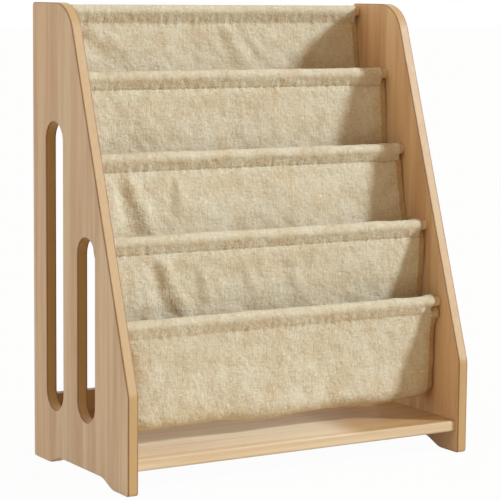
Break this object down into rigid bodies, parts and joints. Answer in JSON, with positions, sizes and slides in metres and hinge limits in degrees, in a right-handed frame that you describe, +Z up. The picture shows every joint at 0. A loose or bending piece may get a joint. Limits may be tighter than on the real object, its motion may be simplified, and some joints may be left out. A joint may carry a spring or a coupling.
{
  "type": "sling bookshelf",
  "caption": "Low child's bookshelf: slotted wooden side panels with a sloped front, cloth slings on rods that show books face out, and a bottom shelf",
  "frame": {"origin": "on the floor, in the middle of the overall width and depth", "axes": "+X to the right when seen from the front, +Y to the back, +Z up; the open pockets face -Y"},
  "size_m": [0.62, 0.32, 0.72],
  "materials": {
    "board_wood": "light solid pine or rubberwood, clear satin lacquer, eased edges",
    "rod_wood": "turned light hardwood, clear satin lacquer",
    "sling_cloth": "woven linen-look canvas, natural beige with lighter and darker slubs, sewn seams",
    "dowel_wood": "raw beech",
    "bolt_steel": "zinc plated steel",
    "cam_zinc": "die-cast zinc, dull"
  },
  "bodies": {
    "bookcase": {"side_panel_left": "board_wood", "side_panel_right": "board_wood", "bottom_shelf": "board_wood", "back_rail": "board_wood", "top_rod": "rod_wood", "tier_1_rod": "rod_wood", "tier_2_rod": "rod_wood", "tier_3_rod": "rod_wood", "tier_4_rod": "rod_wood", "tier_1_sling": "sling_cloth", "tier_2_sling": "sling_cloth", "tier_3_sling": "sling_cloth", "tier_4_sling": "sling_cloth", "shelf_dowel_left_rear": "dowel_wood", "shelf_dowel_left_front": "dowel_wood", "shelf_dowel_right_rear": "dowel_wood", "shelf_dowel_right_front": "dowel_wood", "rail_dowel_left": "dowel_wood", "rail_dowel_right": "dowel_wood", "shelf_bolt_left_rear": "bolt_steel", "shelf_bolt_left_front": "bolt_steel", "shelf_bolt_right_rear": "bolt_steel", "shelf_bolt_right_front": "bolt_steel", "rail_bolt_left": "bolt_steel", "rail_bolt_right": "bolt_steel"},
    "shelf_cam_left_rear_body": {"shelf_cam_left_rear": "cam_zinc"},
    "shelf_cam_left_front_body": {"shelf_cam_left_front": "cam_zinc"},
    "shelf_cam_right_rear_body": {"shelf_cam_right_rear": "cam_zinc"},
    "shelf_cam_right_front_body": {"shelf_cam_right_front": "cam_zinc"},
    "rail_cam_left_body": {"rail_cam_left": "cam_zinc"},
    "rail_cam_right_body": {"rail_cam_right": "cam_zinc"}
  },
  "joints": [
    {"name": "shelf_cam_left_rear_turn", "type": "hinge", "parent": "bookcase", "child": "shelf_cam_left_rear_body", "pos_m": [-0.268, 0.1003, 0.044], "axis": [0, 0, 1], "range_deg": [-180, 0]},
    {"name": "shelf_cam_left_front_turn", "type": "hinge", "parent": "bookcase", "child": "shelf_cam_left_front_body", "pos_m": [-0.268, -0.10077, 0.044], "axis": [0, 0, 1], "range_deg": [-180, 0]},
    {"name": "rail_cam_left_turn", "type": "hinge", "parent": "bookcase", "child": "rail_cam_left_body", "pos_m": [-0.268, 0.151, 0.07985], "axis": [0, -1, 0], "range_deg": [-180, 0]},
    {"name": "shelf_cam_right_rear_turn", "type": "hinge", "parent": "bookcase", "child": "shelf_cam_right_rear_body", "pos_m": [0.268, 0.1003, 0.044], "axis": [0, 0, 1], "range_deg": [-180, 0]},
    {"name": "shelf_cam_right_front_turn", "type": "hinge", "parent": "bookcase", "child": "shelf_cam_right_front_body", "pos_m": [0.268, -0.10077, 0.044], "axis": [0, 0, 1], "range_deg": [-180, 0]},
    {"name": "rail_cam_right_turn", "type": "hinge", "parent": "bookcase", "child": "rail_cam_right_body", "pos_m": [0.268, 0.151, 0.07985], "axis": [0, -1, 0], "range_deg": [-180, 0]}
  ]
}
